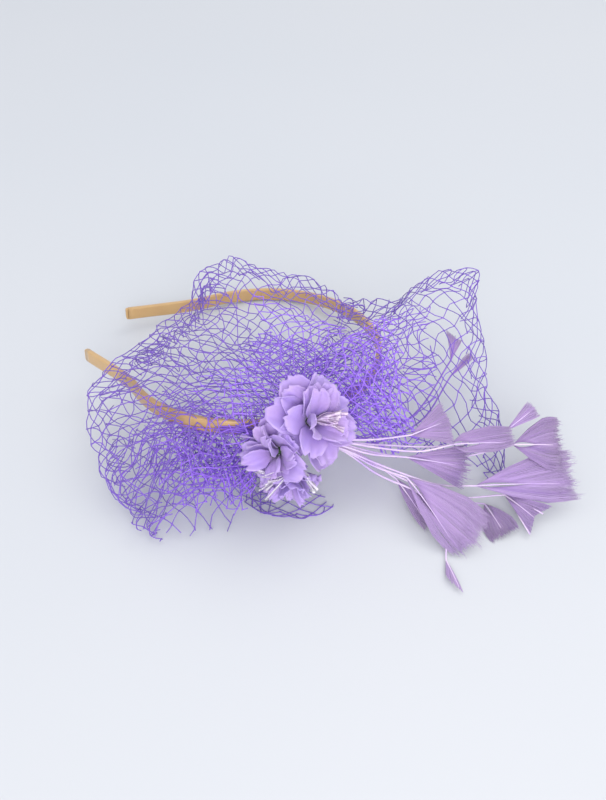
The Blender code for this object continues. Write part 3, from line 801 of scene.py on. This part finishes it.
def add_petal(shape, matrix, rows):
    first = len(shape.verts)
    shape.grid([[matrix @ point for point in row] for row in rows])
    columns = len(rows[0])
    for i in range(len(rows)):
        for j in range(columns):
            x = 2 * j / (columns - 1) - 1
            t = i / (len(rows) - 1)
            vein = 0.12 * noise.noise((x * 9, t * 1.2, first * 0.01))
            patch = 0.18 * noise.noise((x * 1.5, t * 2.0, first * 0.013))
            # Tone rises from the foot of the petal: the low tone at the foot gives painted shade in the
            # blossom's middle.
            tone = t * 0.9 + 0.1 * x * x + vein + patch
            shape.tones[first + i * columns + j] = min(1.0, max(0.0, tone))


def build_petals(name, k, layer, matrix, material):
    spec = BLOSSOMS[name]
    walls = blossom_walls(name)
    shape = Shape()
    seed = 17 * (1 + sorted(BLOSSOMS).index(name)) + 101 * k
    for ring, count in enumerate(spec["petals"][k]):
        reach = spec["reach"][k] * (1.0, 0.86)[ring]
        slope = math.atan(spec["cup"][k] * reach**0.15) + 0.22 * ring
        half_width = reach * 0.36
        for i in range(count):
            rng = random.Random(seed + 7 * i + 53 * ring)
            angle = spec.get("turn", 0.0) + math.tau * (i + 0.5 * ring) / count + k * 0.3
            angle += rng.uniform(-0.22, 0.22)
            own_slope = slope + rng.uniform(-0.22, 0.22)
            length = (reach - PETAL_HOLE) / math.cos(slope) * rng.uniform(0.86, 1.04)
            rows = petal_rows(length, half_width, LAYER_STEP * (k - 1) + 0.7 * ring, own_slope, angle,
                              seed + 7 * i + 53 * ring, walls)
            add_petal(shape, matrix, rows)
    piece = add_piece(f"{name}_{layer}_cloth", shape, material, "petal_fabric", f"{name}_{layer}_petals")
    thicken(piece, PETAL_THICK)


def build_eye(name, matrix, material):
    """A bead of tight green nubs in the middle of a blossom."""
    shape = Shape()
    rings = []
    for i in range(1, 16):
        polar = math.pi * i / 16
        ring = []
        for j in range(28):
            turn = math.tau * j / 28
            way = Vector((math.sin(polar) * math.cos(turn), math.sin(polar) * math.sin(turn),
                          -math.cos(polar)))
            nub = 1.42 + 0.22 * abs(noise.noise(way * 4.2))
            ring.append(matrix @ (way * nub + UP * EYE_HEIGHT))
        rings.append(ring)
    shape.loft(rings)
    add_piece(f"{name}_nub", shape, material, "calyx", f"{name}_eye")


def strip_tuft(shape, matrix, count, length, spread, width, seed):
    """Glossy strips that fan out from the origin of this frame along its Z."""
    rng = random.Random(seed)
    for _ in range(count):
        turn = rng.uniform(0, math.tau)
        out = spread * math.sqrt(rng.random())
        own = length * rng.uniform(0.75, 1.05)
        way = Vector((math.cos(turn) * out, math.sin(turn) * out, 1.0))
        bend = Vector((rng.uniform(-1, 1), rng.uniform(-1, 1), 0)) * 0.07 * length
        face = matrix.to_3x3() @ Vector((rng.uniform(-1, 1), rng.uniform(-1, 1), rng.uniform(-0.4, 0.4)))
        steps = [i / 8 for i in range(9)]
        path = [matrix @ (way * own * t + bend * math.sin(math.pi * t * 1.3)
                          + way.cross(UP) * 0.25 * math.sin(14 * t + turn)) for t in steps]
        widths = [width * (0.45 + 0.75 * t) * rng.uniform(0.9, 1.1) for t in steps]
        shape.strip(path, widths, face.normalized(), 0.16, rng.random())


def build_stamens(frames, satin, pearl):
    """The satin strips that stream out of the right blossom, and the pearly ones of the lower."""
    shape = Shape()
    foot = frames["flower_right"] @ Vector((0.5, 0, 3.2))
    strip_tuft(shape, along_frame(foot, (0.90, -0.34, 0.38)), 20, 13.5, 0.34, 1.15, 5)
    add_piece("flower_right_threads", shape, satin, "stamens", "flower_right_stamens")
    shape = Shape()
    strip_tuft(shape, along_frame((-5.8, -70.0, 29.0), (-0.86, -0.45, 0.0)), 15, 12.5, 0.55, 1.0, 9)
    strip_tuft(shape, along_frame((0.0, -67.5, 28.3), (0.45, -0.68, -0.32)), 6, 10.5, 0.14, 1.4, 3)
    add_piece("flower_lower_threads", shape, pearl, "stamens", "flower_lower_stamens")


def build_blossoms(materials):
    frames = blossom_frames()
    for name, matrix in frames.items():
        for k, layer in enumerate(("outer", "inner")):
            build_petals(name, k, layer, matrix, materials["petal"])
    for name in ("flower_right", "flower_left"):
        build_eye(name, frames[name], materials["eye"])
    build_stamens(frames, materials["stamen"], materials["pearl"])
    for name in BLOSSOMS:
        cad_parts[f"{name}_calyx"].material_slots[0].material = materials["calyx"]
        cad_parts[f"{name}_stem"].material_slots[0].material = materials["stem"]
    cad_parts["headband_core"].material_slots[0].material = materials["steel"]


# ---------------------------------------------------------------- feathers


def bundle_matrix():
    return along_frame(BUNDLE_START, Vector(BUNDLE_END) - Vector(BUNDLE_START))


def build_tape(material):
    """Tape wound round the quills: a sleeve whose outside steps up at each turn of the winding."""
    length = (Vector(BUNDLE_END) - Vector(BUNDLE_START)).length
    matrix = bundle_matrix()
    rows = []
    for i in range(49):
        along = length * i / 48
        row = []
        for j in range(33):
            turn = math.tau * j / 32
            lap = (along / 2.4 - j / 32) % 1.0
            radius = BUNDLE_BORE + 0.28 + 0.26 * lap + 0.05 * noise.noise((along, turn * 2, 1.0))
            row.append(matrix @ Vector((radius * math.cos(turn), radius * math.sin(turn), along)))
        rows.append(row)
    shape = Shape()
    shape.grid(rows)
    thicken(add_piece("wound_tape", shape, material, "binding_tape", "quill_tape"), 0.2)


class Vane:
    """The trimmed web of one feather. Places on it are (along, across) in millimetres."""

    def __init__(self, start, end, half_width, outline, notch, lean, slant):
        self.start = Vector(start)
        self.length = (Vector(end) - self.start).length
        self.ahead = (Vector(end) - self.start).normalized()
        self.side = VANE_FACING.cross(self.ahead).normalized()
        self.face = self.ahead.cross(self.side).normalized()
        self.half_width = half_width
        self.outline = outline
        self.notch = notch
        self.lean = lean
        self.slant = slant

    def point(self, along, across, lift=0.0):
        """The place on the gently arched web, lifted off it by so much."""
        share = along / self.length
        arch = 0.9 * math.sin(math.pi * min(1.0, max(0.0, share))) - 0.012 * across * across
        return self.start + self.ahead * along + self.side * across + self.face * (arch + lift)

    def half(self, along):
        return self.half_width * between(self.outline, along / self.length)[0]

    def shaft(self, along):
        """How far across the shaft is there."""
        return self.lean * self.half_width * max(0.0, along / self.length)**1.2

    def tip(self, at):
        """The place on the cut end, from one corner at -1 to the other at 1."""
        along = self.length * (1 - self.notch * (1 - abs(at)) - self.slant * (1 - at))
        return Vector((along, at * self.half(self.length)))

    def barb(self, at, tip):
        """The barb to this tip: those in the middle leave the shaft late, the outermost at its foot."""
        room = 1 - self.lean if at > self.lean else 1 + self.lean
        outer = min(1.0, abs(at - self.lean) / room)
        root = 0.66 * self.length * (1 - outer)**1.5
        line = []
        for i in range(7):
            t = i / 6
            along = root + (tip.x - root) * t
            straight = self.shaft(root) + (tip.y - self.shaft(root)) * t**0.8
            rim = at * self.half(min(along, self.length)) + (tip.y - at * self.half(self.length)) * t
            line.append((along, straight + (rim - straight) * outer))
        return line


def add_down(shape, points, vane, rng, tone, reach):
    """Fine hairs that spread from the end of a barb."""
    for _ in range(2):
        foot = points[4].lerp(points[6], rng.random())
        way = (points[6] - points[4]).normalized()
        way = way + vane.side * rng.uniform(-0.5, 0.5) + vane.face * rng.uniform(-0.5, 0.5)
        way.normalize()
        reached = reach * rng.uniform(0.4, 1.0)
        hair = [foot, foot + way * reached * 0.5,
                foot + way * reached + vane.face * rng.uniform(-0.3, 0.3)]
        shape.strip(hair, [0.11, 0.08, 0.03], vane.face, 0.04, tone)


def clamped(tone):
    return min(1.0, max(0.0, tone))


def build_feather(name, spec, web_material, quill):
    slot, bends, start, end, half_width, outline, fray, notch, lean, slant = spec
    rng = random.Random(sum(map(ord, name)))
    vane = Vane(start, end, half_width, outline, notch, lean, slant)
    web = Shape()
    count = int(2 * vane.half_width / BARB_PITCH)
    clump = rng.uniform(0, 50)
    for i in range(count):
        at = 2 * (i + 0.5) / count - 1
        tip = vane.tip(at)
        tip.x += fray * (0.4 * abs(rng.gauss(0.0, 1.0)) + 0.35 * noise.noise((at * 4, clump, 0.0)))
        tip.y += 0.5 * noise.noise((at * 8, clump, 5.0))
        tone = 0.5 + 0.45 * noise.noise((at * 5, clump + 9, 0.0)) + rng.uniform(-0.16, 0.16)
        lift = rng.uniform(-0.22, 0.22)
        line = vane.barb(at, tip)
        points = [vane.point(*place, lift * k / 6) for k, place in enumerate(line)]
        widths = [0.40 * (1 - 0.04 * k) if k < 6 else 0.12 for k in range(7)]
        # Darker barb ends on the mid fan and the lower dark fan are painted shade.
        end_tone = clamped(tone + TIP_TONES.get(name, 0.2))
        web.strip(points, widths, vane.face, 0.06, clamped(tone), end_tone)
        if fray > 1.0:
            add_down(web, points, vane, rng, clamped(tone + 0.2), 0.5 + 0.7 * fray)
    add_piece(f"{name}_web", web, web_material, "feather", name)
    build_quill(name, slot, bends, vane, quill)


def build_quill(name, slot, bends, vane, material):
    inside = bundle_matrix() @ Vector((*slot, 0.4))
    outside = bundle_matrix() @ Vector((*slot, 12.0))
    path = smooth_path([inside, outside, *bends, vane.start], 26)
    shaft = [vane.point(vane.length * t, vane.shaft(vane.length * t), 0.08)
             for t in (0.12, 0.3, 0.5, 0.7, 0.86)]
    radii = [0.46 - 0.10 * i / 26 for i in range(27)] + [0.32, 0.26, 0.20, 0.15, 0.09]
    shape = Shape()
    shape.tube(path + shaft, radii, sides=8)
    for at, first, last in BARE_EDGES.get(name, ()):
        rim = [vane.point(vane.length * t, at * vane.half(vane.length * t), 0.3)
               for t in (first, (first + last) / 2, last)]
        shape.tube(rim, [0.2, 0.3, 0.34], sides=6)
    add_piece(f"{name}_quill", shape, material, "feather")


def build_feathers(quill, dyed_quill, tape):
    build_tape(tape)
    webs = {}
    for name, spec in FEATHERS.items():
        shade = DARK_AND_SHADED_FEATHERS.get(name, 0.0)
        if shade not in webs:
            webs[shade] = feather_material(f"feather_shade_{int(shade * 100)}", shade)
        build_feather(name, spec, webs[shade], dyed_quill if "upright" in name else quill)


# ---------------------------------------------------------------- veil


def solids_tree():
    """The CAD surfaces that the net has to stay clear of."""
    verts, faces = [], []
    keep = [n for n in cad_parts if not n.startswith("veil") and n != "headband_core"]
    for node in sorted(keep):
        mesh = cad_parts[node].data
        first = len(verts)
        verts += [vert.co.copy() for vert in mesh.vertices]
        faces += [[first + i for i in face.vertices] for face in mesh.polygons]
    return BVHTree.FromPolygons(verts, faces)


def kept_clear(point, tree):
    """The point in metres, moved out of and off the CAD surfaces, and up from the floor."""
    near, normal, _, gap = tree.find_nearest(point, CLEAR_REACH)
    if near is not None and (gap < CLEARANCE or (point - near).dot(normal) < 0):
        point = near + normal * CLEARANCE
    point.z = max(point.z, THREAD * MM)
    return point


def lobe_height(lobe, angle, radius):
    """Height of the lobe's surface in this direction, in degrees, and this far from the gather."""
    near, near_height = lobe["start"]
    reach, edge_height, crown = between(lobe["edge"], angle)
    share = min(1.05, (radius - near) / (reach - near))
    return (1 - share)**2 * near_height + 2 * share * (1 - share) * crown + share**2 * edge_height


def wander(place):
    """A smooth field of vectors, each part from -1 to 1, that is the same in every run."""
    return Vector([noise.noise(place + offset) for offset in WANDER_OFFSETS])


def drawn_in(place, warp, seed):
    """A place of the flat net in plan, gathered towards the middle and pulled about."""
    place = place * (1 - GATHER_SHARE * math.exp(-place.length / GATHER_REACH))
    pull = wander(Vector((place.x / 24, place.y / 24, seed)))
    return place + Vector((pull.x, pull.y)) * warp


def pleated(lobe, angle, radius):
    """The direction, drawn towards the pleats that run out from the gather."""
    for pleat, strength in lobe["pleats"]:
        off = angle - pleat
        angle -= strength * off * math.exp(-(off / 6)**2 - ((radius - 30) / 32)**2)
    return angle


def layer_point(lobe, layer, place, seed):
    """Where a place of the flat net lies in this layer, or None if the net doesn't go so far."""
    plan = drawn_in(place, layer.warp, seed)
    radius = plan.length
    angle = (math.degrees(math.atan2(plan.y, plan.x)) + 20) % 360 - 20
    low, high = layer.span
    if radius < NET_FOOT or not low < angle < high:
        return None
    first, last = lobe["edge"][0][0], lobe["edge"][-1][0]
    held = min(last, max(first, angle))
    angle = pleated(lobe, held, radius) + angle - held
    held = min(last, max(first, angle))
    rim = between(lobe["edge"], held)[0] * layer.reach
    if not layer.back:
        rim += RAGGED * noise.noise((angle / 9, seed, 3.0)) * (1 - layer.reach + 0.15)
    beyond = radius - rim
    if beyond > layer.back:
        return None
    under = 0.0
    if layer.back:
        radius = rim + FOLD_BEND - math.hypot(beyond, FOLD_BEND)
        under = FOLD_DROP * max(0.0, min(1.0, (beyond + 2.5) / 9))
    height = lobe_height(lobe, held, radius) - under
    height -= layer.drop * min(1.0, radius / 30)
    turn = math.radians(angle)
    point = Vector((*lobe["centre"], height)) + Vector((math.cos(turn), math.sin(turn), 0)) * radius
    loose = layer.warp / WARP * min(1.0, radius / 40)
    point += wander((point + UP * seed * 9) / 12.0) * CRUMPLE * loose
    return point + wander(point / 5.0) * 0.8 * loose


def net_threads(cell, turn):
    """The threads of a flat diamond net, as lists of knots in plan. They run both ways."""
    rotate = Matrix.Rotation(math.radians(turn), 2)
    steps = [rotate @ Vector((cell[0] / 2, cell[1] / 2)), rotate @ Vector((-cell[0] / 2, cell[1] / 2))]
    for along, across in (steps, reversed(steps)):
        for i in range(-NET_HALF_COUNT, NET_HALF_COUNT + 1):
            yield [across * i + along * j for j in range(-NET_HALF_COUNT, NET_HALF_COUNT + 1)]


def net_runs(lobe, layer, knots, seed):
    """The stretches of one thread that lie in the layer, as lists of (point, thickness)."""
    run = []
    for a, b in zip(knots, knots[1:]):
        for t in (0.0, 0.12, 0.5, 0.88):
            point = layer_point(lobe, layer, a.lerp(b, t), seed)
            if point is not None:
                run.append((point, THREAD if t else KNOT))
            elif run:
                yield run
                run = []
    if run:
        yield run


def add_layer(shape, lobe, layer, seed, tree):
    """Adds the threads of one layer and gives the length of thread in it."""
    rng = random.Random(seed)
    total = 0.0
    for knots in net_threads(layer.cell, layer.turn):
        tone = clamped(1.3 * (1.0 - layer.reach) + 0.35 * rng.random())
        for run in net_runs(lobe, layer, knots, seed):
            if len(run) < 4:
                continue
            points = [(kept_clear(to_row(point), tree) - SHIFT) / MM for point, _ in run]
            shape.tube(points, [radius for _, radius in run], tone=tone)
            total += sum((b - a).length for a, b in zip(points, points[1:]))
    return total


def add_cords(shape, tree):
    """The gathers of the net where it leaves its binding: a rope of threads that spreads out."""
    rng = random.Random(23)
    total = 0.0
    for _ in range(46):
        own = Vector((rng.gauss(0, 1), rng.gauss(0, 1), rng.gauss(0, 1)))
        spread = (0.8, 1.3, 2.4, 4.6)
        path = [Vector(place) + own * wide for place, wide in zip(CORDS, spread)]
        points = smooth_path(path, 14)[:rng.randint(8, 15)]
        points = [(kept_clear(to_row(point), tree) - SHIFT) / MM for point in points]
        shape.tube(points, [THREAD] * len(points), tone=0.3 + 0.5 * rng.random())
        total += sum((b - a).length for a, b in zip(points, points[1:]))
    return total


def build_veil(net, tree):
    for k, (name, lobe) in enumerate(VEIL_LOBES.items()):
        shape = Shape()
        thread = sum(add_layer(shape, lobe, layer, 3 + 10 * k + 2.5 * i, tree)
                     for i, layer in enumerate(VEIL_LAYERS[name]))
        if name == "veil_left":
            thread += add_cords(shape, tree)
        piece = add_piece(f"{name}_net", shape, net, "veil_net", name)


# ---------------------------------------------------------------- studio


def build_camera():
    """Looks down at 45 degrees at the design frame's origin, from in front."""
    distance = 0.45
    slope = math.radians(45)
    data = bpy.data.cameras.new("camera")
    data.lens = 43.0
    camera = bpy.data.objects.new("camera", data)
    bpy.context.scene.collection.objects.link(camera)
    camera.location = SHIFT + Vector((0, -math.cos(slope), math.sin(slope))) * distance
    camera.rotation_euler = (slope, 0, 0)
    bpy.context.scene.camera = camera


def build_floor():
    shape = Shape()
    half = 6000.0
    steps = 12
    rows = [[Vector((half * (2 * j / steps - 1), half * (2 * i / steps - 1), FLOOR_HEIGHT))
             for j in range(steps + 1)] for i in range(steps + 1)]
    shape.grid(rows)
    mesh = bpy.data.meshes.new("floor")
    mesh.from_pydata([to_row(vert) for vert in shape.verts], [], shape.faces)
    material = new_material("pale_table", (0.60, 0.615, 0.64), 0.55)
    patches = ramp(material, noise_factor(material, 1.5), ((0.35, (0.585, 0.605, 0.635)),
                                                           (0.65, (0.615, 0.625, 0.645))))
    link(material, patches, "Base Color")
    mesh.materials.append(material)
    floor = bpy.data.objects.new("floor", mesh)
    bpy.context.scene.collection.objects.link(floor)


def add_area_light(name, location, energy, size, colour):
    data = bpy.data.lights.new(name, "AREA")
    data.energy = energy
    data.size = size
    data.color = colour
    light = bpy.data.objects.new(name, data)
    bpy.context.scene.collection.objects.link(light)
    light.location = location
    light.rotation_euler = (-Vector(location)).to_track_quat("-Z", "Y").to_euler()


def build_lights():
    add_area_light("window", (0.9, 0.95, 1.8), 9.5, 1.2, (1.0, 0.99, 0.97))
    add_area_light("softbox", (0.02, -0.02, 0.85), 0.6, 0.5, (0.97, 0.98, 1.0))
    add_area_light("front", (0.1, -1.3, 0.8), 14.5, 1.0, (0.97, 0.98, 1.0))
    world = bpy.data.worlds.new("studio")
    world.use_nodes = True
    background = world.node_tree.nodes["Background"]
    background.inputs["Color"].default_value = (0.86, 0.88, 0.93, 1.0)
    background.inputs["Strength"].default_value = 0.95
    bpy.context.scene.world = world
    bpy.context.scene.view_settings.view_transform = "Standard"


def build_all():
    build_camera()
    build_floor()
    build_lights()
    net = net_material()
    satin = satin_material()
    quill = quill_material()
    dyed_quill = plain_material("dyed_quill", (0.22, 0.10, 0.55), (0.32, 0.17, 0.66), 0.4, 300.0)
    thread = plain_material("lilac_thread", (0.36, 0.28, 0.58), (0.50, 0.42, 0.72), 0.6, 300.0)
    blossom_materials = {
        "petal": petal_material(),
        "eye": plain_material("green_nub", (0.02, 0.05, 0.03), (0.06, 0.13, 0.06), 0.6, 500.0),
        "calyx": plain_material("calyx_green", (0.06, 0.13, 0.05), (0.13, 0.24, 0.09), 0.5, 200.0),
        "stem": plain_material("paper_wire", (0.10, 0.20, 0.08), (0.20, 0.30, 0.15), 0.75, 400.0),
        "steel": plain_material("band_steel", (0.48, 0.48, 0.50), (0.62, 0.62, 0.64), 0.32, 200.0, 0.9),
        "stamen": plain_material("satin_thread", (0.62, 0.42, 0.68), (0.98, 0.86, 0.96), 0.25, 420.0),
        "pearl": plain_material("pearly_thread", (0.78, 0.66, 0.86), (0.96, 0.92, 0.97), 0.2, 260.0),
    }
    build_ribbon(satin)
    build_felt(felt_material(), thread)
    build_gather(net)
    build_blossoms(blossom_materials)
    build_feathers(quill, dyed_quill, thread)
    build_veil(net, solids_tree())


build_all()
